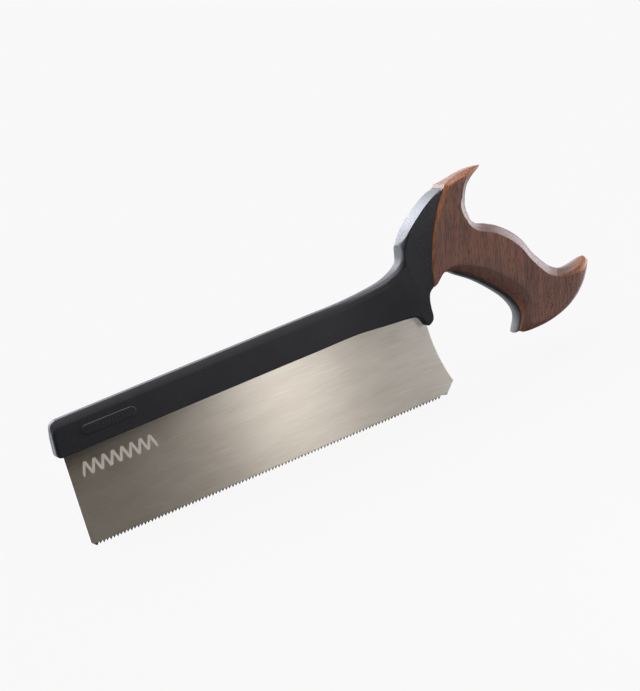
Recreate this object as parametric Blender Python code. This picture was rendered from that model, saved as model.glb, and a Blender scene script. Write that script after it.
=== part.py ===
"""Back saw with a moulded composite back, a toothed steel blade and a bolted wooden grip.

Every length below is in millimetres; the meshes are written in metres. The saw stands upright:
+X runs along the tooth line from the toe to the grip, +Y is across the blade, +Z is up, and the
tooth tips are at z = 0. Shapes are drawn with x = 0 at the first tooth, and one parent empty then
centres the whole saw on the origin.
"""

import math
from collections import namedtuple

import bmesh
import bpy
from mathutils import Vector

MM = 0.001

# Fits
GAP = 0.3              # between faces that touch on the real saw
STUD_CLEARANCE = 0.5   # round the stud where it only passes through

# Blade
TOOTHED_LENGTH = 280.0
TOOTH_COUNT = 105
TOOTH_HEIGHT = 2.2
TOOTH_RAKE = 0.25      # share of the pitch that the cutting face leans back
TOOTH_SET = 0.12
FLEAM_RISE = 0.3       # how much higher a tooth's dull corner is than its sharp one
BLADE_THICK = 0.6
BLADE_DEPTH = 68.2     # tooth tips to the back, at the toe
BLADE_EMBED = 12.0     # how far the plate enters the back
TOE_LEAN = 2.0
TOE_OVERRUN = 3.5      # plate beyond the first tooth
TOE_CLIP = 3.2
HEEL_OVERRUN = 6.0     # plate beyond the last tooth, where the heel edge is upright
HEEL_CLIP = 9.2
HEEL_RADIUS = 128.0
HEEL_HOLLOW_TOP = 50.0  # height above which the heel edge is upright
HEEL_CORNER = 12.0     # length of the slope that takes off the plate's hidden rear corner
HEEL_SHOULDER = 2.0    # how far that slope starts below the plate's hidden edge
ANCHOR_COUNT = 8
ANCHOR_DIAMETER = 6.0
ANCHOR_TOE_MARGIN = 12.0   # from the first tooth
ANCHOR_HEEL_MARGIN = 22.0  # from the last tooth

# Moulded back
BACK_CANT = 0.0055     # rise of the back for each unit of length
BACK_HEIGHT = 26.4
BACK_THICK = 12.0
BOSS_STEP = 1.0        # how far the wood stands proud of the boss on each side
NOSE_OVERHANG = 5.0    # back beyond the blade's toe
NOSE_LENGTH = 9.0      # rounded stretch at the toe
NECK_LENGTH = 80.0     # stretch before the last tooth over which the back starts to rise
LABEL_LENGTH = 42.0    # raised pad on the near face
LABEL_HEIGHT = 8.0
LABEL_RISE = 0.6
LABEL_START = 15.5     # from the first tooth
LABEL_DROP = 14.0      # centre of the pad below the top of the back

# Joint between the boss and the grip
JOINT_RADIUS = 133.0
JOINT_FOOT = (17.1, 12.1)    # handle coordinates
JOINT_HEAD = (48.8, 79.6)
BOSS_TOP = 0.965       # share of the joint, from its foot, that the boss covers
TONGUE_THICK = 12.0
TONGUE_DEPTH = 6.0
TONGUE_FROM = 0.22     # share of the joint, from its foot
TONGUE_TO = 0.78
TONGUE_ROOT = 2.0      # how far the tongue's shape starts inside the boss

# Grip
GRIP_THICK = 22.4
INSERT_WIDTH = 14.4
INSERT_PROUD = 2.4
INSERT_TONGUE_WIDTH = 5.0
INSERT_TONGUE_DEPTH = 3.5

# Handle fastening
STUD_DIAMETER = 6.0
STUD_HEIGHT = 46.8     # handle coordinates
STUD_INSET = 1.0       # stud's end inside the bush, and below the nut's slot
INSERT_DIAMETER = 9.0
INSERT_LENGTH = 12.0
INSERT_SETBACK = 2.0   # below the joint face
WASHER_DIAMETER = 12.0
WASHER_THICK = 1.2
NUT_DIAMETER = 11.0
NUT_HEIGHT = 6.0
NUT_SLOT = (1.4, 1.8)  # width, depth
COUNTERBORE_DEPTH = 13.0
HORN_TIP = (144.9, -15.4)  # rearmost point of the grip, handle coordinates

FINE_STEP = 4.0        # longest stretch between two sections of a curved body
ROUND_SEGMENTS = 24
POST_SEGMENTS = 16
CUT_MARGIN = 1.0       # how far a cutter or an added shape runs past a face
SHARP_ANGLE = 35.0     # degrees between faces, above which an edge is shaded sharp

# Worked out from the above
PITCH = TOOTHED_LENGTH / TOOTH_COUNT
BOSS_THICK = GRIP_THICK - 2 * BOSS_STEP
HEEL_HEIGHT = BLADE_DEPTH + BACK_CANT * TOOTHED_LENGTH
BORE_DIAMETER = STUD_DIAMETER + 2 * STUD_CLEARANCE
COUNTERBORE_DIAMETER = max(WASHER_DIAMETER, NUT_DIAMETER) + 2 * STUD_CLEARANCE

Section = namedtuple("Section", "x0 z0 x1 z1 half foot_run foot_half head_run head_half")


def clear_scene():
    for obj in list(bpy.data.objects):
        bpy.data.objects.remove(obj, do_unlink=True)


def material(name, colour, roughness, metallic=0.0):
    made = bpy.data.materials.new(name)
    made.use_nodes = True
    shader = made.node_tree.nodes["Principled BSDF"]
    shader.inputs["Base Color"].default_value = (*colour, 1.0)
    shader.inputs["Roughness"].default_value = roughness
    shader.inputs["Metallic"].default_value = metallic
    return made


def new_object(name, build, parent, look=None):
    """An object whose mesh build(bm) fills in millimetres."""
    bm = bmesh.new()
    build(bm)
    bmesh.ops.recalc_face_normals(bm, faces=bm.faces)
    bmesh.ops.scale(bm, vec=(MM, MM, MM), verts=bm.verts)
    mesh = bpy.data.meshes.new(name)
    bm.to_mesh(mesh)
    bm.free()
    obj = bpy.data.objects.new(name, mesh)
    bpy.context.scene.collection.objects.link(obj)
    obj.parent = parent
    if look:
        mesh.materials.append(look)
        mesh.shade_smooth()
        mesh.set_sharp_from_angle(angle=math.radians(SHARP_ANGLE))
    return obj


def cutter(name, build, parent):
    obj = new_object(name, build, parent)
    obj.hide_render = True
    obj.display_type = "WIRE"
    return obj


def boolean(obj, other, operation="DIFFERENCE"):
    modifier = obj.modifiers.new(other.name, "BOOLEAN")
    modifier.operation = operation
    modifier.solver = "EXACT"
    modifier.object = other


# Shapes

def smooth(rows, step=FINE_STEP):
    """Rows of numbers on a smooth curve through the given ones, with ends free."""
    rows = [tuple(row) for row in rows]
    knots = [0.0]
    for a, b in zip(rows, rows[1:]):
        knots.append(knots[-1] + math.sqrt(math.dist(a[:4], b[:4])))
    chords = [
        [(q - p) / (knots[i + 1] - knots[i]) for p, q in zip(rows[i], rows[i + 1])]
        for i in range(len(rows) - 1)
    ]
    slopes = [chords[0]]
    for i in range(1, len(rows) - 1):
        before, after = knots[i] - knots[i - 1], knots[i + 1] - knots[i]
        slopes.append([
            (c * after + d * before) / (before + after) for c, d in zip(chords[i - 1], chords[i])
        ])
    slopes.append(chords[-1])
    found = []
    for i in range(len(rows) - 1):
        span = knots[i + 1] - knots[i]
        longest = max(math.dist(rows[i][:2], rows[i + 1][:2]), math.dist(rows[i][2:4], rows[i + 1][2:4]))
        steps = max(1, math.ceil(longest / step))
        for n in range(steps):
            t = n / steps
            found.append([
                p * (2 * t**3 - 3 * t**2 + 1) + q * (3 * t**2 - 2 * t**3)
                + span * (m * (t**3 - 2 * t**2 + t) + k * (t**3 - t**2))
                for p, q, m, k in zip(rows[i], rows[i + 1], slopes[i], slopes[i + 1])
            ])
    found.append(list(rows[-1]))
    return found


def sections(rows, step=FINE_STEP):
    return [Section(*row) for row in smooth(rows, step)]


def joined(*stretches):
    """Stretches of sections that share their end sections, as one list."""
    found = list(stretches[0])
    for stretch in stretches[1:]:
        found += stretch[1:]
    return found


def half_outline(section):
    """(along, across) points of one side of a section, from its foot to its head."""
    length = math.dist((section.x0, section.z0), (section.x1, section.z1))
    foot = min(section.foot_run, 0.5 * length)
    head = min(section.head_run, length - foot)
    half = section.half
    foot_half, head_half = min(section.foot_half, half), min(section.head_half, half)
    return [
        (0.0, 0.0),
        (0.0, foot_half),
        (0.3 * foot, foot_half + 0.65 * (half - foot_half)),
        (foot, half),
        (length - head, half),
        (length - 0.3 * head, head_half + 0.65 * (half - head_half)),
        (length, head_half),
        (length, 0.0),
    ]


def loft(bm, stations, outline=half_outline):
    """A closed body through symmetrical sections, each in the plane of Y and its own direction."""
    rings = []
    for section in stations:
        foot = Vector((section.x0, 0.0, section.z0))
        head = Vector((section.x1, 0.0, section.z1))
        along = (head - foot).normalized()
        side = outline(section)
        loop = side + [(v, -y) for v, y in reversed(side) if abs(y) > 1e-9]
        rings.append([bm.verts.new(foot + along * v + Vector((0.0, y, 0.0))) for v, y in loop])
    for before, after in zip(rings, rings[1:]):
        for i, low in enumerate(before):
            j = (i + 1) % len(before)
            bm.faces.new((low, before[j], after[j], after[i]))
    bm.faces.new(rings[0])
    bm.faces.new(reversed(rings[-1]))


def prism(bm, outline, low, high):
    """The (x, z) outline pushed out from y = low to y = high."""
    face = bm.faces.new([bm.verts.new((x, low, z)) for x, z in outline])
    moved = bmesh.ops.extrude_face_region(bm, geom=[face])["geom"]
    bmesh.ops.translate(
        bm, vec=(0.0, high - low, 0.0), verts=[v for v in moved if isinstance(v, bmesh.types.BMVert)]
    )


def arc(centre, radius, first, turn, steps):
    """Points round a centre, from the angle first through turn, in degrees."""
    angles = [math.radians(first + turn * n / steps) for n in range(steps + 1)]
    return [(centre[0] + radius * math.cos(a), centre[1] + radius * math.sin(a)) for a in angles]


def circle(centre, diameter, segments):
    return arc(centre, diameter / 2, 0.0, 360.0, segments)[:-1]


def rod(bm, start, end, z, diameter, bore=0.0):
    """A round bar along X from start to end, or a tube if it has a bore."""
    rings = []
    for x, size in ((start, diameter), (end, diameter), (end, bore), (start, bore)):
        if size:
            rings.append([bm.verts.new((x, *point)) for point in circle((0.0, z), size, ROUND_SEGMENTS)])
    for before, after in zip(rings, rings[1:] + (rings[:1] if bore else [])):
        for n in range(ROUND_SEGMENTS):
            m = (n + 1) % ROUND_SEGMENTS
            bm.faces.new((before[n], before[m], after[m], after[n]))
    if not bore:
        bm.faces.new(rings[0])
        bm.faces.new(rings[1])


# Places

def handle(x, z):
    """A point given from the last tooth and the heel end of the back's lower edge."""
    return TOOTHED_LENGTH + x, HEEL_HEIGHT + z


def back_foot(x):
    return BLADE_DEPTH + BACK_CANT * x


def back_top(x):
    return back_foot(x) + BACK_HEIGHT


def joint(share, offset=0.0):
    """A point on the joint's arc, from its foot (0) to its head (1), moved towards the grip."""
    foot, head = Vector(handle(*JOINT_FOOT)), Vector(handle(*JOINT_HEAD))
    chord = head - foot
    to_grip = Vector((chord.y, -chord.x)).normalized()
    centre = (foot + head) / 2 + to_grip * math.sqrt(JOINT_RADIUS**2 - chord.length_squared / 4)
    start = foot - centre
    turn = -2 * math.asin(chord.length / 2 / JOINT_RADIUS) * share
    radius = 1 - offset / JOINT_RADIUS
    x = start.x * math.cos(turn) - start.y * math.sin(turn)
    z = start.x * math.sin(turn) + start.y * math.cos(turn)
    return centre.x + x * radius, centre.y + z * radius


def joint_x(height):
    """Where the joint crosses a height."""
    low, high = 0.0, 1.0
    for _ in range(40):
        middle = (low + high) / 2
        if joint(middle)[1] < height:
            low = middle
        else:
            high = middle
    return joint(low)[0]


# Blade

def tooth_points():
    """(gullets, tips) along the tooth line."""
    gullets = [((n - TOOTH_RAKE) * PITCH, TOOTH_HEIGHT) for n in range(1, TOOTH_COUNT + 1)]
    gullets.insert(0, (-TOE_OVERRUN, TOE_CLIP))
    tips = [(n * PITCH, 0.0) for n in range(TOOTH_COUNT)]
    return gullets, tips


def plate_edge(inset=0.0):
    """The plate's outline above its teeth, from heel to toe. A negative inset makes it larger."""
    nose_x = -TOE_OVERRUN + TOE_LEAN
    top = BLADE_EMBED - inset
    heel_x = TOOTHED_LENGTH + HEEL_OVERRUN - inset
    steps = 6
    heights = [HEEL_CLIP + (HEEL_HOLLOW_TOP - HEEL_CLIP) * n / steps for n in range(steps + 1)]
    hollow = [(heel_x + (HEEL_HOLLOW_TOP - z) ** 2 / (2 * HEEL_RADIUS), z) for z in heights]
    below_clip = (hollow[0][0] - HEEL_CLIP + 0.5 * TOOTH_HEIGHT, 0.5 * TOOTH_HEIGHT)
    upright_x = heel_x - 2 * HEEL_CORNER / 3
    corner_x = upright_x - HEEL_CORNER
    return [below_clip, *hollow] + [
        (heel_x, HEEL_HEIGHT - HEEL_SHOULDER),
        (upright_x, HEEL_HEIGHT + top - HEEL_SHOULDER),
        (corner_x, back_foot(corner_x) + top),
        (nose_x + inset, back_foot(nose_x) + top),
        (nose_x + inset, back_foot(nose_x)),
    ]


def build_blade(bm):
    gullets, tips = tooth_points()
    edge = plate_edge()
    front, back = -BLADE_THICK / 2, BLADE_THICK / 2

    def both(points):
        return [[bm.verts.new((x, y, z)) for x, z in points] for y in (front, back)]

    gullet_front, gullet_back = both(gullets)
    edge_front, edge_back = both(edge)
    bm.faces.new(gullet_front + edge_front)
    bm.faces.new(list(reversed(gullet_back + edge_back)))
    rim_front = [gullet_front[-1], *edge_front, gullet_front[0]]
    rim_back = [gullet_back[-1], *edge_back, gullet_back[0]]
    for i in range(len(rim_front) - 1):
        bm.faces.new((rim_front[i], rim_back[i], rim_back[i + 1], rim_front[i + 1]))
    for n, (x, z) in enumerate(tips):
        side = 1 if n % 2 else -1
        lean = side * TOOTH_SET
        tip_front = bm.verts.new((x, front + lean, z + (FLEAM_RISE if side > 0 else 0.0)))
        tip_back = bm.verts.new((x, back + lean, z + (FLEAM_RISE if side < 0 else 0.0)))
        bm.faces.new((gullet_front[n], tip_front, gullet_front[n + 1]))
        bm.faces.new((gullet_back[n], gullet_back[n + 1], tip_back))
        bm.faces.new((gullet_front[n], gullet_back[n], tip_back, tip_front))
        bm.faces.new((tip_front, tip_back, gullet_back[n + 1], gullet_front[n + 1]))


def anchor_places():
    first, last = ANCHOR_TOE_MARGIN, TOOTHED_LENGTH - ANCHOR_HEEL_MARGIN
    for n in range(ANCHOR_COUNT):
        x = first + (last - first) * n / (ANCHOR_COUNT - 1)
        yield x, back_foot(x) + BLADE_EMBED / 2


def build_anchors(bm, diameter):
    for place in anchor_places():
        prism(bm, circle(place, diameter, POST_SEGMENTS), -2 * BLADE_THICK, 2 * BLADE_THICK)


def build_slot(bm):
    """The plate's space in the back: its outline above the back's lower edge, with a gap all round."""
    hidden = [(x, z) for x, z in plate_edge(-GAP) if z > HEEL_HOLLOW_TOP]
    below = HEEL_HOLLOW_TOP / 2
    outline = [(hidden[0][0], below), *hidden, (hidden[-1][0], below)]
    prism(bm, outline, -BLADE_THICK / 2 - GAP, BLADE_THICK / 2 + GAP)


# Moulded back

def back_sections():
    """Sections of the moulding: each runs from the lower edge or the joint up to the top edge."""
    bar, boss = BACK_THICK / 2, BOSS_THICK / 2
    nose = -TOE_OVERRUN + TOE_LEAN - NOSE_OVERHANG

    def bar_at(x, rise=0.0, drop=0.0, lean=0.0, half=bar):
        return (x, back_foot(x) + rise, x + lean, back_top(x) - drop,
                half, 1.0, half - 1.0, 5.5, half - 2.5)

    def shape(foot, head, *rest):
        return (*handle(*foot), *handle(*head), *rest)

    def swell(foot, rise, share, foot_round, head_run, head_half):
        """A section between bar and boss; rise is its head above the bar's top edge at the heel."""
        half = bar + share * (boss - bar)
        return shape(foot, (rise[0], BACK_HEIGHT + rise[1]),
                     half, foot_round, half - foot_round, head_run, head_half)

    toe = [
        bar_at(nose, 3.3, 6.6, 1.6, 0.76 * bar),
        bar_at(nose + 0.6, 1.5, 3.6, 2.0, 0.93 * bar),
        bar_at(nose + 2.1, 0.4, 1.4, 2.2),
        bar_at(nose + 4.9, 0.0, 0.1, 2.4),
        bar_at(nose + NOSE_LENGTH),
    ]
    neck_x = TOOTHED_LENGTH - NECK_LENGTH
    straight = [toe[-1], bar_at((nose + NOSE_LENGTH + neck_x) / 2), bar_at(neck_x)]
    neck = [
        straight[-1],
        swell((-48.0, -0.3), (-54.0, -0.4), 0.0, 1.0, 5.5, bar - 2.6),
        swell((-26.0, -2.0), (-34.0, 0.8), 0.25, 1.0, 5.5, bar - 2.6),
        swell((-8.6, -3.3), (-17.0, 3.0), 0.55, 1.2, 5.5, bar - 2.4),
        swell((-2.6, -4.6), (-8.5, 5.8), 0.7, 1.2, 5.5, bar - 2.1),
        swell((0.6, -6.6), (-4.8, 7.6), 0.76, 1.2, 5.5, bar - 1.9),
        swell((2.2, -9.6), (-1.8, 9.8), 0.81, 1.2, 5.5, bar - 1.7),
        swell((4.0, -13.3), (0.4, 12.6), 0.85, 1.2, 5.5, bar - 1.4),
    ]
    heel = [
        neck[-1],
        swell((8.2, -11.6), (1.6, 15.6), 0.87, 1.2, 5.0, bar - 1.2),
        swell((9.8, -8.8), (2.3, 18.2), 0.89, 1.2, 4.5, bar - 1.6),
        swell((10.2, -3.0), (2.9, 20.8), 0.92, 1.2, 4.5, 3.0),
        swell((11.0, 3.0), (3.6, 23.2), 0.95, 1.2, 5.5, 1.5),
        swell((13.0, 8.6), (7.2, 26.4), 0.985, 1.2, 3.0, 0.78 * boss),
        (*joint(0.0), *handle(12.6, 58.0), boss, 0.8, boss - 0.8, 1.0, 0.96 * boss),
    ]
    heads = [
        (12.6, 58.0), (19.0, 62.9), (28.0, 69.2), (35.5, 73.4), (41.2, 75.9), (44.4, 76.9), (46.3, 77.2)
    ]
    drops = [1.0, 0.9, 1.0, 1.0, 1.0, 1.0, 0.8]
    widths = [0.96, 0.97, 0.97, 0.97, 0.93, 0.8, 0.6]
    last = len(heads) - 1
    facet = [
        (*joint(BOSS_TOP * n / last), *handle(*head), boss, 0.0, boss, drops[n], widths[n] * boss)
        for n, head in enumerate(heads)
    ]
    return joined(
        sections(toe, FINE_STEP / 2),
        sections(straight, TOOTHED_LENGTH / 3),
        sections(neck),
        sections(heel),
        sections(facet),
    )


def joint_band(start, end, near, far):
    """Outline between two offsets from the joint's arc."""
    steps = 6
    shares = [start + (end - start) * n / steps for n in range(steps + 1)]
    return [joint(s, near) for s in shares] + [joint(s, far) for s in reversed(shares)]


def build_tongue(bm, clearance=0.0):
    share = clearance / math.dist(JOINT_FOOT, JOINT_HEAD)
    half = TONGUE_THICK / 2 + clearance
    band = joint_band(TONGUE_FROM - share, TONGUE_TO + share, -TONGUE_ROOT, TONGUE_DEPTH + clearance)
    prism(bm, band, -half, half)


def build_label(bm):
    """A round-ended pad on the near face of the back."""
    radius = LABEL_HEIGHT / 2
    outline = []
    for x, first in ((LABEL_START + LABEL_LENGTH - radius, -90.0), (LABEL_START + radius, 90.0)):
        outline += arc((x, back_top(x) - LABEL_DROP), radius, first, 180.0, POST_SEGMENTS // 2)
    prism(bm, outline, -BACK_THICK / 2 - LABEL_RISE, -BACK_THICK / 2 + CUT_MARGIN)


# Grip

def finger_line():
    """Front and rear ends of the grip's sections along the finger insert, and the width of its scoop."""
    return [
        (35.5, 17.6, 75.0, 39.2, 6.5),
        (40.5, 15.0, 81.0, 36.0, 7.2),
        (53.1, 5.8, 91.0, 27.4, 9.3),
        (65.5, -6.5, 97.6, 18.5, 10.0),
        (73.6, -17.1, 102.2, 7.8, 11.0),
        (77.4, -26.5, 106.4, 0.6, 12.0),
        (77.2, -33.8, 112.0, -7.2, 12.6),
        (72.2, -43.3, 118.0, -11.8, 12.9),
    ]


def grip_sections():
    half = GRIP_THICK / 2
    edge = BOSS_THICK / 2
    palm = INSERT_WIDTH / 2

    def shape(x0, z0, x1, z1, *rest):
        return (*handle(x0, z0), *handle(x1, z1), *rest)

    upper_horn = [
        shape(83.6, 82.8, 83.2, 81.8, 2.2, 0.4, 1.6, 0.4, 1.6),
        shape(76.0, 83.7, 76.4, 78.4, half - 4.8, 2.4, 3.0, 2.4, 3.0),
        shape(67.0, 83.4, 69.6, 73.4, half - 1.2, 4.0, 3.5, 5.4, 3.5),
        shape(57.5, 81.7, 65.2, 67.0, half, 3.0, 4.0, 6.2, 4.0),
        (*joint(1.0, GAP), *handle(63.1, 61.5), half, 3.6, edge, 6.3, 4.0),
    ]
    rears = [(63.0, 61.5), (62.4, 59.2), (62.1, 57.2), (62.0, 55.4), (62.1, 53.8), (62.3, 52.6)]
    chamfers = [3.6, 3.4, 2.8, 2.2, 1.6, 1.2]
    last = len(rears) - 1
    root = [
        (*joint(1 - n / last, GAP), *handle(*rear), half, chamfers[n], edge, 6.4, 4.0)
        for n, rear in enumerate(rears)
    ]
    crook = [
        root[-1],
        shape(18.9, 12.4, 62.7, 50.8, half, 1.8, edge - 0.8, 6.3, 4.0),
        shape(20.8, 14.9, 63.6, 48.7, half, 3.0, edge - 3.0, 6.4, 4.0),
        shape(24.2, 17.0, 65.6, 45.7, half, 4.4, edge - 4.4, 6.5, 4.0),
        shape(29.0, 18.4, 69.4, 42.2, half, 5.6, edge - 4.6, 6.8, 4.0),
        shape(*finger_line()[0][:4], half, finger_line()[0][4], palm, 6.9, 4.0),
    ]
    fingers = [shape(*row[:4], half, row[4], palm, 6.6, 4.0) for row in finger_line()]
    lower_horn = [
        fingers[-1],
        shape(75.6, -46.0, 121.5, -12.9, half, 8.0, 5.5, 6.9, 4.0),
        shape(87.0, -46.9, 126.5, -13.3, half, 7.0, 4.5, 7.5, 4.0),
        shape(102.0, -45.3, 131.5, -13.1, half, 7.0, 4.0, 8.0, 4.0),
        shape(117.5, -40.3, 136.2, -12.3, half - 0.5, 7.0, 4.0, 8.0, 4.0),
        shape(130.5, -32.0, 139.8, -11.5, half - 2.0, 7.0, 3.8, 8.0, 3.8),
        shape(139.2, -22.6, 142.6, -11.3, half - 4.5, 5.0, 3.2, 5.0, 3.2),
        shape(*HORN_TIP, HORN_TIP[0] - 0.5, HORN_TIP[1] + 2.2, 2.6, 0.6, 1.8, 0.6, 1.8),
    ]
    return joined(
        sections(upper_horn),
        sections(root),
        sections(crook),
        sections(fingers),
        sections(lower_horn),
    )


def rear_x(height):
    """Rear of the grip above the palm, at a height."""
    ends = [(section.x1, section.z1) for section in grip_sections()]
    for (x, z), (next_x, next_z) in zip(ends, ends[1:]):
        if next_z <= height <= z:
            return x + (next_x - x) * (z - height) / (z - next_z)


def insert_outline(section):
    """The insert's half section: a rounded face towards the fingers and a tongue towards the wood."""
    wide, tongue = INSERT_WIDTH / 2, INSERT_TONGUE_WIDTH / 2
    proud = section.foot_run
    return [
        (-proud, 0.0),
        (-0.85 * proud, 0.5 * wide),
        (-0.5 * proud, 0.86 * wide),
        (-GAP - 0.15, wide),
        (-GAP, 0.98 * wide),
        (-GAP, tongue),
        (INSERT_TONGUE_DEPTH - GAP, tongue),
        (INSERT_TONGUE_DEPTH - GAP, 0.0),
    ]


def insert_sections():
    rows = []
    for n, (x0, z0, x1, z1, _) in enumerate(finger_line()):
        proud = INSERT_PROUD * (0.45 if n == 0 else 1.0)
        rows.append((*handle(x0, z0), *handle(x1, z1), 1.0, proud, 0.0, 0.0, 0.0))
    return sections(rows)


def groove_outline(_):
    return [
        (-3.0, 0.0),
        (-3.0, INSERT_TONGUE_WIDTH / 2 + GAP),
        (INSERT_TONGUE_DEPTH, INSERT_TONGUE_WIDTH / 2 + GAP),
        (INSERT_TONGUE_DEPTH, 0.0),
    ]


def between(a, b, share):
    return Section(*(p + share * (q - p) for p, q in zip(a, b)))


def groove_sections():
    """Sections half-way between the insert's own, from a gap past its upper end to past the wood."""
    found = insert_sections()
    start = between(found[0], found[1], -GAP / FINE_STEP)
    end = between(found[-2], found[-1], 1.0 + CUT_MARGIN)
    middles = [between(a, b, 0.5) for a, b in zip(found, found[1:])]
    return [start, *middles, end]


# Fastening along the stud's axis

def fastening(parent, looks):
    """The bush, stud, washer and nut that hold the grip, and the cutters that make room for them."""
    height = handle(0.0, STUD_HEIGHT)[1]
    seat = rear_x(height) - COUNTERBORE_DEPTH
    bush_end = joint_x(height) - INSERT_SETBACK
    bush_start = bush_end - INSERT_LENGTH
    washer_end = seat + GAP + WASHER_THICK
    nut_start = washer_end + GAP
    nut_end = nut_start + NUT_HEIGHT
    stud_start = bush_start + STUD_INSET
    stud_end = nut_end - NUT_SLOT[1] - STUD_INSET
    bore = STUD_DIAMETER + 2 * GAP
    new_object(
        "threaded_insert",
        lambda bm: rod(bm, bush_start, bush_end, height, INSERT_DIAMETER, bore),
        parent,
        looks["brass"],
    )
    new_object(
        "tie_stud",
        lambda bm: rod(bm, stud_start, stud_end, height, STUD_DIAMETER),
        parent,
        looks["steel"],
    )
    new_object(
        "stud_washer",
        lambda bm: rod(bm, seat + GAP, washer_end, height, WASHER_DIAMETER, bore),
        parent,
        looks["steel"],
    )
    nut = new_object(
        "round_nut",
        lambda bm: rod(bm, nut_start, nut_end, height, NUT_DIAMETER, bore),
        parent,
        looks["brass"],
    )
    width, depth = NUT_SLOT
    low, high = height - NUT_DIAMETER, height + NUT_DIAMETER
    inner, outer = nut_end - depth, nut_end + CUT_MARGIN
    slot = cutter(
        "nut_slot_cutter",
        lambda bm: prism(
            bm, [(inner, low), (outer, low), (outer, high), (inner, high)], -width / 2, width / 2
        ),
        parent,
    )
    boolean(nut, slot)
    pocket = cutter(
        "bush_pocket_cutter",
        lambda bm: rod(bm, bush_start - GAP, bush_end + GAP, height, INSERT_DIAMETER + 2 * GAP),
        parent,
    )
    passage = cutter(
        "stud_passage_cutter",
        lambda bm: rod(bm, bush_end, seat + CUT_MARGIN, height, BORE_DIAMETER),
        parent,
    )
    counterbore = cutter(
        "counterbore_cutter",
        lambda bm: rod(bm, seat, seat + 2 * COUNTERBORE_DEPTH, height, COUNTERBORE_DIAMETER),
        parent,
    )
    return pocket, passage, counterbore


def main():
    clear_scene()
    looks = {
        "steel": material("brushed_steel", (0.56, 0.55, 0.53), 0.32, 1.0),
        "composite": material("black_composite", (0.022, 0.023, 0.026), 0.5),
        "wood": material("oiled_wood", (0.12, 0.058, 0.036), 0.38),
        "rubber": material("black_insert", (0.02, 0.021, 0.024), 0.42),
        "brass": material("brass", (0.66, 0.5, 0.24), 0.3, 1.0),
    }
    nose_x = back_sections()[0].x0
    tip_x = handle(*HORN_TIP)[0]
    saw = bpy.data.objects.new("saw_centre", None)
    bpy.context.scene.collection.objects.link(saw)
    saw.location.x = -(nose_x + tip_x) / 2 * MM

    blade = new_object("blade", build_blade, saw, looks["steel"])
    holes = cutter("anchor_hole_cutter", lambda bm: build_anchors(bm, ANCHOR_DIAMETER), saw)
    boolean(blade, holes)

    back = new_object("spine_moulding", lambda bm: loft(bm, back_sections()), saw, looks["composite"])
    slot = cutter("blade_slot_cutter", build_slot, saw)
    posts = cutter("anchor_post_cutter", lambda bm: build_anchors(bm, ANCHOR_DIAMETER - 2 * GAP), saw)
    boolean(slot, posts)
    tongue = cutter("tongue_shape", build_tongue, saw)
    label = cutter("label_shape", build_label, saw)
    pocket, passage, counterbore = fastening(saw, looks)
    boolean(back, tongue, "UNION")
    boolean(back, label, "UNION")
    for tool in (slot, pocket, passage):
        boolean(back, tool)

    grip = new_object("wood_grip", lambda bm: loft(bm, grip_sections()), saw, looks["wood"])
    mortise = cutter("mortise_cutter", lambda bm: build_tongue(bm, GAP), saw)
    groove = cutter("groove_cutter", lambda bm: loft(bm, groove_sections(), groove_outline), saw)
    for tool in (mortise, groove, passage, counterbore):
        boolean(grip, tool)

    new_object(
        "finger_insert", lambda bm: loft(bm, insert_sections(), insert_outline), saw, looks["rubber"]
    )


main()
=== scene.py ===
"""Looks of a back saw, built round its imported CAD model.

Shapes are drawn in millimetres from the first tooth, as the CAD model is, and each mesh is then
scaled to metres and moved so that it meets the CAD nodes' boxes. +X runs along the tooth line from
the toe to the grip, -Y is the side that the camera sees, and +Z is up.
"""

import math
from collections import namedtuple
from functools import reduce

import bmesh
import bpy
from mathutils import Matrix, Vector


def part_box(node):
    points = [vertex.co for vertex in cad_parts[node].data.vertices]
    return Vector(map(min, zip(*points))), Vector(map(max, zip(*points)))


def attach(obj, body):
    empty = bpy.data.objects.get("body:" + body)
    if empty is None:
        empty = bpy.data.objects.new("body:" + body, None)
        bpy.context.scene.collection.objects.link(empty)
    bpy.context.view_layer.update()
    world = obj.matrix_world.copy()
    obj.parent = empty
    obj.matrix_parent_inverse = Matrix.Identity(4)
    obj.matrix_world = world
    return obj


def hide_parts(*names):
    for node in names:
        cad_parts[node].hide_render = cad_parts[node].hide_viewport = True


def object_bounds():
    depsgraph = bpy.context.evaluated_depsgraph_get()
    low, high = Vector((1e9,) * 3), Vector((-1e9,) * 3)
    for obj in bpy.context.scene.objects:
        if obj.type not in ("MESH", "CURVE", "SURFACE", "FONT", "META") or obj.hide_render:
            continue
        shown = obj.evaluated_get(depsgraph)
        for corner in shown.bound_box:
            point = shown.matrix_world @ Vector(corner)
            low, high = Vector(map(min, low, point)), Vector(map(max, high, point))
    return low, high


MM = 0.001
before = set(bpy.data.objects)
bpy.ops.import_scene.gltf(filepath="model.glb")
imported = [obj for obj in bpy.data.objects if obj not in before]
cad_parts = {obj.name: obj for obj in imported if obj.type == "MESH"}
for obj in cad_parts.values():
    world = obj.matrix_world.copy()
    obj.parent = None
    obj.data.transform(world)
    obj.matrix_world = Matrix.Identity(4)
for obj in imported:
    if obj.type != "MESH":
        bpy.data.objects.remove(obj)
cad_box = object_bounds()

# Where the CAD model is
BLADE_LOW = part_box("blade")[0]
GRIP_LOW, GRIP_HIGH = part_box("wood_grip")
BACK_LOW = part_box("spine_moulding")[0]
WASHER_LOW, WASHER_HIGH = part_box("stud_washer")
TOE_OVERRUN = 3.5        # plate beyond the first tooth
FIRST_TOOTH = BLADE_LOW.x / MM + TOE_OVERRUN
NOSE_X = BACK_LOW.x / MM - FIRST_TOOTH

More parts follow.
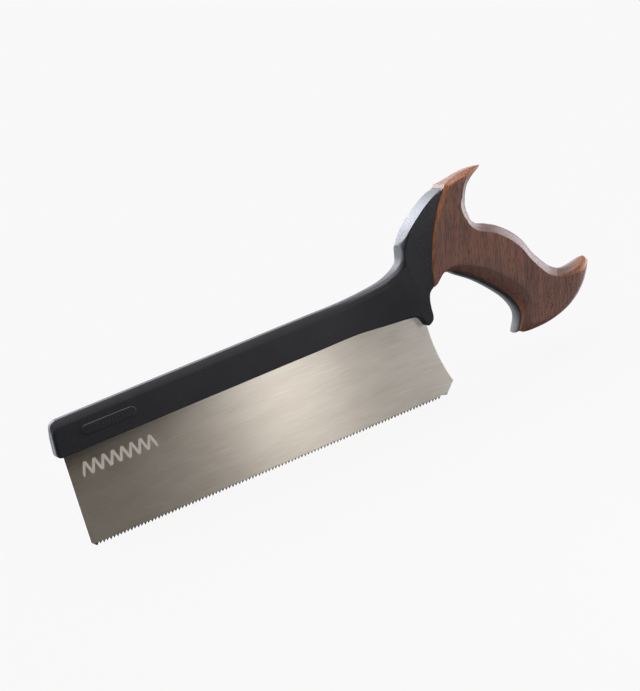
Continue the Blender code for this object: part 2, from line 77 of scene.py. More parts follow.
# Blade
TOOTHED_LENGTH = 280.0
TOOTH_COUNT = 105
TOOTH_HEIGHT = 2.2
TOOTH_RAKE = 0.25
TOOTH_SET = 0.12
FLEAM_RISE = 0.3
PITCH = TOOTHED_LENGTH / TOOTH_COUNT
BLADE_THICK = 0.6
BLADE_DEPTH = 68.2
BLADE_HIDDEN = 6.0       # plate that the back covers
TOE_LEAN = 2.0
TOE_CLIP = 3.2
HEEL_OVERRUN = 6.0
HEEL_CLIP = 9.2
HEEL_RADIUS = 128.0
HEEL_HOLLOW_TOP = 50.0
FACET_ANGLE = 1.0        # degrees between faces, above which the plate is shaded sharp

# Frosted mark on the blade
MARK_START, MARK_END = 7.7, 64.9     # along the tooth line
MARK_LOW, MARK_HIGH = 49.2, 59.2
MARK_COUNT = 8
MARK_STROKE = 2.0
MARK_BLUR = 0.15

# Moulded back
BACK_CANT = 0.0055       # rise of the back for each unit of length
BACK_HEIGHT = 26.4
BACK_THICK = 12.0
NOSE_LENGTH = 9.0
NECK_LENGTH = 80.0
LABEL_LENGTH = 42.0
LABEL_HEIGHT = 8.0
LABEL_RISE = 0.6
LABEL_START = 15.5
LABEL_DROP = 14.0
LABEL_BEVEL = 0.7
LABEL_RIBS = 9
LABEL_RIB_PITCH = 2.5
LABEL_RIB_WIDTH = 1.1
LABEL_RIB_RISE = 0.25
LABEL_RIB_LENGTHS = (4.0, 2.4)

# Joint and grip
JOINT_RADIUS = 133.0
JOINT_FOOT = (17.1, 12.1)
JOINT_HEAD = (48.8, 79.6)
BOSS_TOP = 0.965
GAP = 0.3
GRIP_THICK = 22.4
BOSS_STEP = 1.0          # how far the wood stands proud of the boss on each side
BOSS_THICK = GRIP_THICK - 2 * BOSS_STEP
HORN_TIP = (144.9, -15.4)    # rearmost point of the grip, in handle coordinates
INSERT_WIDTH = 14.4
INSERT_PROUD = 2.4
COUNTERBORE_CLEARANCE = 0.5
GRAIN_ANGLE = math.radians(71.0)     # turn about Y that lays the grain along X

# Sections
FINE = 1.4               # longest stretch between two sections
CROWN_STEPS = 3
EDGE_STEPS = 7
EDGE = 0.22              # half width of the narrow bevel on a crisp edge
ARRIS_DROP = 0.075       # depth of that bevel
SCOOP_SHADE_BLUR = 3.0         # how far the scoop's painted shade runs out over the cheek

# Stage
CAMERA_AZIMUTH, CAMERA_ELEVATION, CAMERA_ROLL = -18.5, 11.5, 18.524
CAMERA_DISTANCE = 1.6451
CAMERA_LENS = 118.73
AIM = Vector(((FIRST_TOOTH + 202.78) * MM, 0.0, 0.07173))
BACKGROUND = 0.939       # brightness that the camera sees behind the saw
FLOOR_GLOW = 0.876       # floor's own light, which with the lamps' light matches the background
FLOOR_DROP = 0.0002      # floor's depth below the teeth

# Its last three fields are the orange edge tint at the foot and at the head, partly painted highlight, and
# the painted shade of the finger scoop.
Section = namedtuple(
    "Section",
    "x0 z0 x1 z1 half foot_run foot_half foot_soft head_run head_half head_soft"
    " foot_tint head_tint scoop",
)


# Meshes

def back_foot(x):
    """Height of the back's lower edge."""
    return BLADE_DEPTH + BACK_CANT * x


def handle(x, z):
    """A point given from the last tooth and the heel end of the back's lower edge."""
    return TOOTHED_LENGTH + x, back_foot(TOOTHED_LENGTH) + z


def finished(name, bm, look, node=None, slot=None):
    """The mesh in bm, drawn in millimetres from the first tooth, as a piece in its place."""
    bmesh.ops.recalc_face_normals(bm, faces=bm.faces)
    bmesh.ops.translate(bm, vec=(FIRST_TOOTH, 0.0, 0.0), verts=bm.verts)
    bmesh.ops.scale(bm, vec=(MM, MM, MM), verts=bm.verts)
    mesh = bpy.data.meshes.new(name)
    bm.to_mesh(mesh)
    bm.free()
    mesh.shade_smooth()
    obj = bpy.data.objects.new(name, mesh)
    bpy.context.scene.collection.objects.link(obj)
    if look:
        mesh.materials.append(look)
    if node:
        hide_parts(node)
    if slot:
        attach(obj, "root")
    return obj


def even_shading(obj, sharp=50.0):
    """Large faces stay flat in shading, and the narrow bevels beside them take the turn."""
    obj.data.set_sharp_from_angle(angle=math.radians(sharp))
    modifier = obj.modifiers.new("even shading", "WEIGHTED_NORMAL")
    modifier.weight = 80
    modifier.keep_sharp = True


def apply_boolean(obj, tool, operation):
    modifier = obj.modifiers.new("boolean", "BOOLEAN")
    modifier.operation = operation
    modifier.solver = "EXACT"
    modifier.object = tool
    made = bpy.data.meshes.new_from_object(obj.evaluated_get(bpy.context.evaluated_depsgraph_get()))
    obj.modifiers.remove(modifier)
    obj.data = made
    bpy.data.objects.remove(tool, do_unlink=True)


def smooth(rows, step=FINE):
    """Rows of numbers on a smooth curve through the given ones, with ends free."""
    knots = [0.0]
    for a, b in zip(rows, rows[1:]):
        knots.append(knots[-1] + math.sqrt(math.dist(a[:4], b[:4])))
    chords = [
        [(q - p) / (knots[i + 1] - knots[i]) for p, q in zip(rows[i], rows[i + 1])]
        for i in range(len(rows) - 1)
    ]
    slopes = [chords[0]]
    for i in range(1, len(rows) - 1):
        before, after = knots[i] - knots[i - 1], knots[i + 1] - knots[i]
        slopes.append([
            (c * after + d * before) / (before + after) for c, d in zip(chords[i - 1], chords[i])
        ])
    slopes.append(chords[-1])
    found = []
    for i in range(len(rows) - 1):
        span = knots[i + 1] - knots[i]
        longest = max(math.dist(rows[i][:2], rows[i + 1][:2]), math.dist(rows[i][2:4], rows[i + 1][2:4]))
        steps = max(1, math.ceil(longest / step))
        for n in range(steps):
            t = n / steps
            found.append([
                p * (2 * t**3 - 3 * t**2 + 1) + q * (3 * t**2 - 2 * t**3)
                + span * (m * (t**3 - 2 * t**2 + t) + k * (t**3 - t**2))
                for p, q, m, k in zip(rows[i], rows[i + 1], slopes[i], slopes[i + 1])
            ])
    found.append(list(rows[-1]))
    return found


def joined(*stretches):
    """Stretches of rows that share their end rows, made smooth one by one, as sections."""
    found = []
    for rows, step in stretches:
        found += smooth(rows, step)[1 if found else 0:]
    return [Section(*row) for row in found]


def row(foot, head, half, foot_edge, head_edge, tints_and_light=(0.0, 0.0, 0.0)):
    """One section's numbers. An edge is its run, half width and softness."""
    return [*foot, *head, half, *foot_edge, *head_edge, *tints_and_light]


def curve_points(run, end_half, half, softness, steps):
    """(inward, across) points of an edge, from its end to the arris where it meets the flat side."""
    found = []
    for n in range(steps + 1):
        t = n / steps
        inward = (1 - softness) * run / 2
        across = softness * half + (1 - softness) * (half + end_half) / 2
        v = 2 * t * (1 - t) * inward + t * t * run
        y = (1 - t) ** 2 * end_half + 2 * t * (1 - t) * across + t * t * half
        found.append((v, y))
    return found


def ring(section, crown):
    """One side of a section, from its foot to its head, as (along, across, role) points."""
    length = math.dist((section.x0, section.z0), (section.x1, section.z1))
    half = section.half
    foot_run = min(max(section.foot_run, 2.2 * EDGE), 0.47 * length)
    head_run = min(max(section.head_run, 2.2 * EDGE), 0.47 * length)
    foot_half, head_half = min(section.foot_half, half), min(section.head_half, half)
    found = []
    for n in range(CROWN_STEPS):
        y = foot_half * n / CROWN_STEPS
        found.append((-crown[0] * (1 - (y / max(foot_half, 1e-6)) ** 2), y, "foot"))
    edge = curve_points(foot_run, foot_half, half, section.foot_soft, EDGE_STEPS)
    found += [(v, y, "foot") for v, y in edge[:-1]]
    found.append((foot_run - EDGE, half - ARRIS_DROP * (1 - section.foot_soft), "foot"))
    flat = length - foot_run - head_run
    for share in (0.0, 0.04, 0.1, 0.2, 0.5, 0.8, 1.0):
        found.append((foot_run + EDGE + (flat - 2 * EDGE) * share, half, "side"))
    found.append((length - head_run + EDGE, half - ARRIS_DROP * (1 - section.head_soft), "head"))
    edge = curve_points(head_run, head_half, half, section.head_soft, EDGE_STEPS)
    found += [(length - v, y, "head") for v, y in reversed(edge[:-1])]
    for n in reversed(range(CROWN_STEPS)):
        y = head_half * n / CROWN_STEPS
        found.append((length + crown[1] * (1 - (y / max(head_half, 1e-6)) ** 2), y, "head"))
    return found


def skin(bm, rings):
    """Faces between rings of vertices, with both ends closed."""
    for before, after in zip(rings, rings[1:]):
        for i, low in enumerate(before):
            j = (i + 1) % len(before)
            bm.faces.new((low, before[j], after[j], after[i]))
    bm.faces.new(rings[0])
    bm.faces.new(reversed(rings[-1]))


def loft(stations, crown=(0.0, 0.0)):
    """A closed body through symmetrical sections, with the tints as point attributes: the orange edge tint,
    which is partly painted highlight, the painted shade of the finger scoop, and the polish share.
    """
    bm = bmesh.new()
    edge_tint_and_highlight_layer = bm.verts.layers.float.new("edge_tint_and_highlight")
    scoop_shade_layer = bm.verts.layers.float.new("scoop")
    polish_layer = bm.verts.layers.float.new("polish")
    rings = []
    for section in stations:
        foot = Vector((section.x0, 0.0, section.z0))
        along = (Vector((section.x1, 0.0, section.z1)) - foot).normalized()
        side = ring(section, crown)
        loop = side + [(v, -y, role) for v, y, role in reversed(side) if abs(y) > 1e-9]
        made = []
        for v, y, role in loop:
            vert = bm.verts.new(foot + along * v + Vector((0.0, y, 0.0)))
            # The edge tint on the foot and head edges is partly painted highlight. The scoop's darker tone
            # on the foot edge and on the cheek beside it is painted shade.
            if role == "head":
                vert[edge_tint_and_highlight_layer] = section.head_tint
            if role == "foot":
                outward = min(1.0, max(0.0, v / max(section.foot_run, 1.0)))
                vert[edge_tint_and_highlight_layer] = section.foot_tint * max(0.0, 1 - 2.5 * outward * section.scoop)
                vert[scoop_shade_layer] = section.scoop * (0.3 + 0.7 * outward)
            if role == "side":
                away = (v - section.foot_run) / SCOOP_SHADE_BLUR
                vert[scoop_shade_layer] = section.scoop * 0.8 * max(0.0, 1 - away)
            vert[polish_layer] = 0.0 if role == "side" else 1.0
            made.append(vert)
        rings.append(made)
    skin(bm, rings)
    return bm


def rod(bm, start, end, z, radius, segments=64):
    rings = []
    for x in (start, end):
        rings.append([
            bm.verts.new((x, radius * math.cos(2 * math.pi * n / segments),
                          z + radius * math.sin(2 * math.pi * n / segments)))
            for n in range(segments)
        ])
    skin(bm, rings)


# Materials

class Nodes:
    """Short ways to add nodes to a tree."""

    def __init__(self, tree):
        self.tree = tree

    def node(self, kind, **settings):
        made = self.tree.nodes.new("ShaderNode" + kind)
        for key, value in settings.items():
            setattr(made, key, value)
        return made

    def put(self, socket, value):
        """Links value into the socket if it is another socket, and sets it if it isn't."""
        if isinstance(value, bpy.types.NodeSocket):
            self.tree.links.new(value, socket)
        else:
            socket.default_value = value

    def math(self, operation, *values):
        made = self.node("Math", operation=operation)
        for socket, value in zip(made.inputs, values):
            self.put(socket, value)
        return made.outputs[0]

    def remap(self, value, low, high, to_low=0.0, to_high=1.0):
        """value from low..high to to_low..to_high, with a smooth start and end."""
        made = self.node("MapRange", interpolation_type="SMOOTHSTEP")
        for socket, given in zip(made.inputs, (value, low, high, to_low, to_high)):
            self.put(socket, given)
        return made.outputs[0]

    def mix(self, share, first, second):
        """A colour between two, each given as a socket or as numbers."""
        made = self.node("Mix", data_type="RGBA")
        self.put(made.inputs["Factor"], share)
        for socket, given in zip(made.inputs[6:8], (first, second)):
            self.put(socket, given if isinstance(given, bpy.types.NodeSocket) else (*given, 1.0))
        return made.outputs[2]

    def axes(self):
        """X, Y and Z of the object coordinates."""
        parts = self.node("SeparateXYZ")
        self.put(parts.inputs[0], self.node("TexCoord").outputs["Object"])
        return parts.outputs


class Look(Nodes):
    """A Principled material."""

    def __init__(self, name, **constants):
        self.material = bpy.data.materials.new(name)
        self.material.use_nodes = True
        super().__init__(self.material.node_tree)
        self.shader = self.tree.nodes["Principled BSDF"]
        for socket, value in constants.items():
            self.shader.inputs[socket.replace("_", " ")].default_value = value

    def position(self, turn=0.0, scale=(1.0, 1.0, 1.0)):
        """Object coordinates, turned about Y so that a direction in the saw's plane lies along X."""
        place = self.node("TexCoord").outputs["Object"]
        turned = self.node("VectorRotate", rotation_type="Y_AXIS")
        self.put(turned.inputs["Vector"], place)
        self.put(turned.inputs["Angle"], turn)
        scaled = self.node("VectorMath", operation="MULTIPLY")
        self.put(scaled.inputs[0], turned.outputs[0])
        self.put(scaled.inputs[1], scale)
        return scaled.outputs[0]

    def noise(self, vector, scale=1.0, detail=3.0, roughness=0.5, distortion=0.0):
        made = self.node("TexNoise")
        self.put(made.inputs["Vector"], vector)
        for socket, value in (("Scale", scale), ("Detail", detail), ("Roughness", roughness),
                              ("Distortion", distortion)):
            self.put(made.inputs[socket], value)
        return made.outputs["Fac"]

    def attribute(self, name):
        return self.node("Attribute", attribute_name=name).outputs["Fac"]

    def bump(self, height, distance, strength=1.0):
        made = self.node("Bump")
        self.put(made.inputs["Height"], height)
        self.put(made.inputs["Distance"], distance)
        self.put(made.inputs["Strength"], strength)
        self.put(self.shader.inputs["Normal"], made.outputs[0])

    def colour(self, value):
        self.put(self.shader.inputs["Base Color"], value)

    def rough(self, value):
        self.put(self.shader.inputs["Roughness"], value)


def steel_look():
    """Steel ground along the tooth line, with a frosted zigzag mark near the toe."""
    look = Look("ground_steel", Anisotropic=0.9)
    along = look.position(scale=(55.0, 300.0, 1700.0))
    lines = look.noise(along, 1.0, 5.0, 0.62)
    soft = look.noise(look.position(scale=(12.0, 70.0, 70.0)), 1.0, 3.0, 0.55)
    slanted = look.position(turn=math.radians(-3.0), scale=(34.0, 300.0, 700.0))
    scratches = look.noise(slanted, 1.0, 2.0, 0.5)
    base = look.mix(look.remap(soft, 0.35, 0.65), (0.575, 0.54, 0.495), (0.625, 0.595, 0.555))
    base = look.mix(look.remap(lines, 0.3, 0.7, 0.0, 0.35), base, (0.78, 0.765, 0.74))
    base = look.mix(look.remap(scratches, 0.62, 0.75, 0.0, 0.25), base, (0.9, 0.89, 0.87))
    mark = etched_mark(look)
    base = look.mix(look.math("MULTIPLY", mark, 0.9), base, (0.34, 0.315, 0.285))
    hardened = look.remap(look.axes()[2], 1.2 * MM, 2.6 * MM, 0.85, 0.0)
    base = look.mix(hardened, base, (0.05, 0.045, 0.042))
    look.colour(base)
    look.put(look.shader.inputs["Metallic"], look.math("SUBTRACT", 1.0, look.math("MULTIPLY", mark, 0.85)))
    rough = look.math("ADD", look.remap(lines, 0.25, 0.75, 0.29, 0.39), look.math("MULTIPLY", mark, 0.3))
    look.rough(rough)
    direction = look.node("CombineXYZ")
    direction.inputs[2].default_value = 1.0
    look.put(look.shader.inputs["Tangent"], direction.outputs[0])
    look.bump(lines, 0.00002, 0.5)
    return look.material


def etched_mark(look):
    """A plain zigzag, as a mask: 1 inside its stroke and 0 outside."""
    pitch = (MARK_END - MARK_START) / MARK_COUNT
    along, across, up = look.axes()
    x = look.math("SUBTRACT", look.math("DIVIDE", along, MM), FIRST_TOOTH + MARK_START)
    z = look.math("SUBTRACT", look.math("DIVIDE", up, MM), MARK_LOW)
    length, height = MARK_END - MARK_START, MARK_HIGH - MARK_LOW
    line = look.math("MULTIPLY", look.math("PINGPONG", x, pitch / 2), 2 * height / pitch)
    away = look.math("ABSOLUTE", look.math("SUBTRACT", z, line))
    reach = MARK_STROKE / 2 * math.hypot(1.0, 2 * height / pitch)
    inside = look.remap(away, reach - MARK_BLUR, reach + MARK_BLUR, 1.0, 0.0)
    for value, limit in ((x, length), (z, height)):
        past_start = look.remap(value, -MARK_BLUR, MARK_BLUR)
        before_end = look.remap(value, limit - MARK_BLUR, limit + MARK_BLUR, 1.0, 0.0)
        inside = look.math("MULTIPLY", inside, look.math("MULTIPLY", past_start, before_end))
    return look.math("MULTIPLY", inside, look.math("LESS_THAN", across, 0.0))


def composite_look():
    """Black moulded composite with a fine matte grain."""
    look = Look("black_composite", Specular_IOR_Level=0.25)
    fine = look.noise(look.position(), 1200.0, 2.0, 0.6)
    broad = look.noise(look.position(), 60.0, 3.0, 0.5)
    base = look.mix(look.remap(broad, 0.3, 0.7), (0.0042, 0.0051, 0.0082), (0.0062, 0.0074, 0.0112))
    specks = look.noise(look.position(), 900.0, 1.0, 0.5)
    base = look.mix(look.remap(specks, 0.7, 0.78, 0.0, 0.25), base, (0.07, 0.074, 0.08))
    look.colour(base)
    boss = look.remap(look.axes()[0], GRIP_LOW.x - 25 * MM, GRIP_LOW.x + 5 * MM, 0.0, 0.16)
    look.rough(look.math("SUBTRACT", look.remap(fine, 0.3, 0.7, 0.4, 0.54), boss))
    look.bump(fine, 0.00006, 0.6)
    return look.material


def wood_look():
    """Oiled dark hardwood with open pores, orange where the edges are broken: partly the wood's edge colour
    and partly painted highlight. The finger scoop is darkened with painted shade.
    """
    look = Look("oiled_hardwood", Coat_Weight=0.05, Coat_Roughness=0.3, Specular_IOR_Level=0.2)
    long_grain = look.noise(look.position(GRAIN_ANGLE, (100.0, 1250.0, 1250.0)), 1.0, 4.0, 0.65, 0.1)
    streaks = look.noise(look.position(GRAIN_ANGLE, (38.0, 480.0, 480.0)), 1.0, 3.0, 0.5, 0.2)
    pores = look.noise(look.position(GRAIN_ANGLE, (150.0, 1700.0, 1700.0)), 1.0, 2.0, 0.5)
    patches = look.noise(look.position(), 38.0, 2.0, 0.5)
    base = look.mix(look.remap(streaks, 0.32, 0.68), (0.048, 0.023, 0.019), (0.112, 0.051, 0.037))
    base = look.mix(look.remap(long_grain, 0.42, 0.62, 0.0, 0.6), base, (0.112, 0.053, 0.04))
    base = look.mix(look.remap(patches, 0.4, 0.7, 0.0, 0.3), base, (0.135, 0.055, 0.035))
    pore = look.remap(pores, 0.53, 0.64)
    base = look.mix(look.math("MULTIPLY", pore, 0.85), base, (0.02, 0.012, 0.011))
    # Painted shade darkens the finger scoop.
    scoop = look.attribute("scoop")
    base = look.mix(look.math("MULTIPLY", scoop, 0.72), base, (0.05, 0.027, 0.025))
    # The orange on the edges is partly the wood's edge colour and partly painted highlight where the edges
    # catch the light.
    edge = look.attribute("edge_tint_and_highlight")
    edge_tint_and_highlight_share = look.math("MULTIPLY", edge, look.remap(streaks, 0.3, 0.7, 1.0, 0.6))
    orange = look.mix(look.remap(long_grain, 0.35, 0.65), (0.09, 0.028, 0.012), (0.34, 0.11, 0.02))
    base = look.mix(edge_tint_and_highlight_share, base, orange)
    look.colour(base)
    smooth_parts = look.attribute("polish")
    look.rough(look.remap(smooth_parts, 0.0, 1.0, 0.62, 0.36))
    depth = look.math("MULTIPLY", pore, look.remap(smooth_parts, 0.0, 1.0, 1.0, 0.35))
    height = look.math("SUBTRACT", look.math("MULTIPLY", long_grain, 0.4), depth)
    look.bump(height, 0.00018, 0.6)
    return look.material


def rubber_look():
    """Smooth black rubber with a slight sheen."""
    look = Look("black_insert", Specular_IOR_Level=0.3)
    fine = look.noise(look.position(), 1400.0, 2.0, 0.5)
    broad = look.noise(look.position(), 90.0, 2.0, 0.5)
    look.colour(look.mix(look.remap(broad, 0.3, 0.7), (0.009, 0.01, 0.013), (0.015, 0.0165, 0.02)))
    look.rough(look.remap(fine, 0.3, 0.7, 0.42, 0.55))
    look.bump(fine, 0.00003, 0.4)
    return look.material


def turned_metal_look(name, dark, light):
    """Bright metal with the fine circular lines that a lathe leaves, about an axis along X."""
    look = Look(name, Metallic=1.0)
    rings = look.noise(look.position(scale=(400.0, 60.0, 60.0)), 1.0, 5.0, 0.6)
    stain = look.noise(look.position(), 260.0, 3.0, 0.5)
    look.colour(look.mix(look.remap(stain, 0.3, 0.7), dark, light))
    look.rough(look.remap(rings, 0.3, 0.7, 0.22, 0.4))
    look.bump(rings, 0.00003, 0.4)
    return look.material


# Blade

def plate_edge():
    """The plate's outline above its teeth, from heel to toe."""
    nose_x = -TOE_OVERRUN + TOE_LEAN
    heel_x = TOOTHED_LENGTH + HEEL_OVERRUN
    steps = 16
    heights = [HEEL_CLIP + (HEEL_HOLLOW_TOP - HEEL_CLIP) * n / steps for n in range(steps + 1)]
    hollow = [(heel_x + (HEEL_HOLLOW_TOP - z) ** 2 / (2 * HEEL_RADIUS), z) for z in heights]
    below_clip = (hollow[0][0] - HEEL_CLIP + 0.5 * TOOTH_HEIGHT, 0.5 * TOOTH_HEIGHT)
    return [below_clip, *hollow] + [
        (heel_x, back_foot(heel_x) - BLADE_HIDDEN),
        (heel_x - BLADE_HIDDEN, back_foot(heel_x) + BLADE_HIDDEN),
        (nose_x, back_foot(nose_x) + BLADE_HIDDEN),
        (nose_x, back_foot(nose_x)),
    ]


def build_blade(look):
    bm = bmesh.new()
    gullets = [((n - TOOTH_RAKE) * PITCH, TOOTH_HEIGHT) for n in range(1, TOOTH_COUNT + 1)]
    gullets.insert(0, (-TOE_OVERRUN, TOE_CLIP))
    edge = plate_edge()
    front, back = -BLADE_THICK / 2, BLADE_THICK / 2

    def both(points):
        return [[bm.verts.new((x, y, z)) for x, z in points] for y in (front, back)]

    gullet_front, gullet_back = both(gullets)
    edge_front, edge_back = both(edge)
    bm.faces.new(gullet_front + edge_front)
    bm.faces.new(list(reversed(gullet_back + edge_back)))
    rim_front = [gullet_front[-1], *edge_front, gullet_front[0]]
    rim_back = [gullet_back[-1], *edge_back, gullet_back[0]]
    for i in range(len(rim_front) - 1):
        bm.faces.new((rim_front[i], rim_back[i], rim_back[i + 1], rim_front[i + 1]))
    for n in range(TOOTH_COUNT):
        x = n * PITCH
        side = 1 if n % 2 else -1
        lean = side * TOOTH_SET
        tip_front = bm.verts.new((x, front + lean, FLEAM_RISE if side > 0 else 0.0))
        tip_back = bm.verts.new((x, back + lean, FLEAM_RISE if side < 0 else 0.0))
        bm.faces.new((gullet_front[n], tip_front, gullet_front[n + 1]))
        bm.faces.new((gullet_back[n], gullet_back[n + 1], tip_back))
        bm.faces.new((gullet_front[n], gullet_back[n], tip_back, tip_front))
        bm.faces.new((tip_front, tip_back, gullet_back[n + 1], gullet_front[n + 1]))
    obj = finished("saw_plate", bm, look, "blade", "blade_steel")
    obj.data.set_sharp_from_angle(angle=math.radians(FACET_ANGLE))
    return obj


# Moulded back

def joint(share, offset=0.0):
    """A point on the joint's arc, from its foot (0) to its head (1), moved towards the grip."""
    foot, head = Vector(handle(*JOINT_FOOT)), Vector(handle(*JOINT_HEAD))
    chord = head - foot
    to_grip = Vector((chord.y, -chord.x)).normalized()
    centre = (foot + head) / 2 + to_grip * math.sqrt(JOINT_RADIUS**2 - chord.length_squared / 4)
    start = foot - centre
    turn = -2 * math.asin(chord.length / 2 / JOINT_RADIUS) * share
    radius = 1 - offset / JOINT_RADIUS
    x = start.x * math.cos(turn) - start.y * math.sin(turn)
    z = start.x * math.sin(turn) + start.y * math.cos(turn)
    return centre.x + x * radius, centre.y + z * radius


def back_stations():
    bar, boss = BACK_THICK / 2, BOSS_THICK / 2

    def bar_at(x, rise=0.0, drop=0.0, lean=0.0, half=bar):
        return row((x, back_foot(x) + rise), (x + lean, back_foot(x) + BACK_HEIGHT - drop), half,
                   (1.0, half - 1.0, 0.8), (5.5, half - 3.0, 0.12))

    def swell(foot, rise, share, foot_round, head_run, head_half, head_soft=0.12):
        half = bar + share * (boss - bar)
        return row(handle(*foot), handle(rise[0], BACK_HEIGHT + rise[1]), half,
                   (foot_round, half - foot_round, 0.8), (head_run, head_half, head_soft))

    toe = [
        bar_at(NOSE_X, 3.3, 6.6, 1.6, 0.76 * bar),
        bar_at(NOSE_X + 0.6, 1.5, 3.6, 2.0, 0.93 * bar),
        bar_at(NOSE_X + 2.1, 0.4, 1.4, 2.2),
        bar_at(NOSE_X + 4.9, 0.0, 0.1, 2.4),
        bar_at(NOSE_X + NOSE_LENGTH),
    ]
    neck_x = TOOTHED_LENGTH - NECK_LENGTH
    straight = [toe[-1], bar_at((NOSE_X + NOSE_LENGTH + neck_x) / 2), bar_at(neck_x)]
    neck = [
        straight[-1],
        swell((-48.0, -0.3), (-54.0, -0.4), 0.0, 1.0, 5.5, bar - 3.0, 0.3),
        swell((-26.0, -2.0), (-34.0, 0.8), 0.25, 1.0, 5.5, bar - 3.0, 0.6),
        swell((-8.6, -3.3), (-17.0, 3.0), 0.57, 1.2, 5.5, bar - 2.6, 0.9),
        swell((-2.6, -4.6), (-8.5, 5.8), 0.73, 1.2, 5.5, bar - 2.1, 1.0),
        swell((0.6, -6.6), (-4.8, 7.6), 0.8, 1.2, 5.5, bar - 1.9, 1.0),
        swell((2.2, -9.6), (-1.8, 9.8), 0.845, 1.2, 5.5, bar - 1.7, 1.0),
        swell((4.0, -13.3), (0.4, 12.6), 0.88, 1.2, 5.5, bar - 1.4, 1.0),
    ]
    heel = [
        neck[-1],
        swell((8.2, -11.6), (1.6, 15.6), 0.925, 1.2, 5.0, bar - 1.2, 1.0),
        swell((9.8, -8.8), (2.3, 18.2), 0.94, 1.2, 4.5, bar - 1.6, 1.0),
        swell((10.2, -3.0), (2.9, 20.8), 0.945, 1.2, 4.5, 3.0, 1.0),
        swell((11.0, 3.0), (3.6, 23.2), 0.955, 1.2, 5.5, 1.5, 1.0),
        swell((13.0, 8.6), (7.2, 26.4), 0.98, 1.2, 3.0, 0.78 * boss, 0.6),
        row(joint(0.0), handle(12.6, 58.0), boss, (0.8, boss - 0.8, 0.5), (1.0, 0.96 * boss, 0.3)),
    ]
    heads = [
        (12.6, 58.0), (19.0, 62.9), (28.0, 69.2), (35.5, 73.4), (41.2, 75.9), (44.4, 76.9), (46.3, 77.2)
    ]
    drops = [1.0, 0.9, 1.0, 1.0, 1.0, 1.0, 0.8]
    widths = [0.96, 0.97, 0.97, 0.97, 0.93, 0.8, 0.6]
    last = len(heads) - 1
    facet = [
        row(joint(BOSS_TOP * n / last), handle(*head), boss,
            (0.5, boss, 0.0), (drops[n], widths[n] * boss, 0.3))
        for n, head in enumerate(heads)
    ]
    return joined((toe, 0.5), (straight, 12.0), (neck + heel[1:], 1.0), (facet, 1.0))


def pill(x, z, length, height, upright=False, segments=16):
    """Outline of a round-ended bar centred on (x, z)."""
    radius = height / 2
    found = []
    for end, first in ((1, -90.0), (-1, 90.0)):
        for n in range(segments + 1):
            angle = math.radians(first + 180.0 * n / segments)
            along = end * (length / 2 - radius) + radius * math.cos(angle)
            across = radius * math.sin(angle)
            found.append((x + across, z + along) if upright else (x + along, z + across))
    return found


def raised(bm, outline, centre, base, top, bevel):
    """A pad with sloped sides: the outline at depth base, drawn in by bevel at depth top."""
    cx, cz = centre
    wide = [bm.verts.new((x, base, z)) for x, z in outline]
    xs, zs = [x for x, _ in outline], [z for _, z in outline]
    sx = 1 - 2 * bevel / (max(xs) - min(xs))
    sz = 1 - 2 * bevel / (max(zs) - min(zs))
    narrow = [bm.verts.new((cx + (x - cx) * sx, top, cz + (z - cz) * sz)) for x, z in outline]
    for n in range(len(outline)):
        m = (n + 1) % len(outline)
        bm.faces.new((wide[n], wide[m], narrow[m], narrow[n]))
    bm.faces.new(narrow)
    bm.faces.new(reversed(wide))


def build_label(look):
    """The raised pad on the near face of the back, with a row of plain ribs on it."""
    bm = bmesh.new()
    face = -BACK_THICK / 2
    x = LABEL_START + LABEL_LENGTH / 2
    z = back_foot(x) + BACK_HEIGHT - LABEL_DROP
    raised(bm, pill(x, z, LABEL_LENGTH, LABEL_HEIGHT), (x, z), face + 0.2, face - LABEL_RISE, LABEL_BEVEL)
    for n in range(LABEL_RIBS):
        rib_x = x + (n - (LABEL_RIBS - 1) / 2) * LABEL_RIB_PITCH
        rib = pill(rib_x, z, LABEL_RIB_LENGTHS[n % 2], LABEL_RIB_WIDTH, upright=True, segments=8)
        top = face - LABEL_RISE - LABEL_RIB_RISE
        raised(bm, rib, (rib_x, z), face - LABEL_RISE + 0.1, top, LABEL_RIB_RISE)
    obj = finished("label_pad", bm, look, None, "back_composite")
    even_shading(obj, 35.0)
    return obj


def build_back(look):
    body = loft(back_stations(), (0.0, 0.05))
    obj = finished("back_moulding", body, look, "spine_moulding", "back_composite")
    even_shading(obj)
    return obj


# Grip

FINGER_LINE = (
    (35.5, 17.6, 75.0, 39.2, 6.5),
    (40.5, 15.0, 81.0, 36.0, 7.2),
    (53.1, 5.8, 91.0, 27.4, 9.3),
    (65.5, -6.5, 97.6, 18.5, 10.0),
    (73.6, -17.1, 102.2, 7.8, 11.0),
    (77.4, -26.5, 106.4, 0.6, 12.0),
    (77.2, -33.8, 112.0, -7.2, 12.6),
    (72.2, -43.3, 118.0, -11.8, 12.9),
)


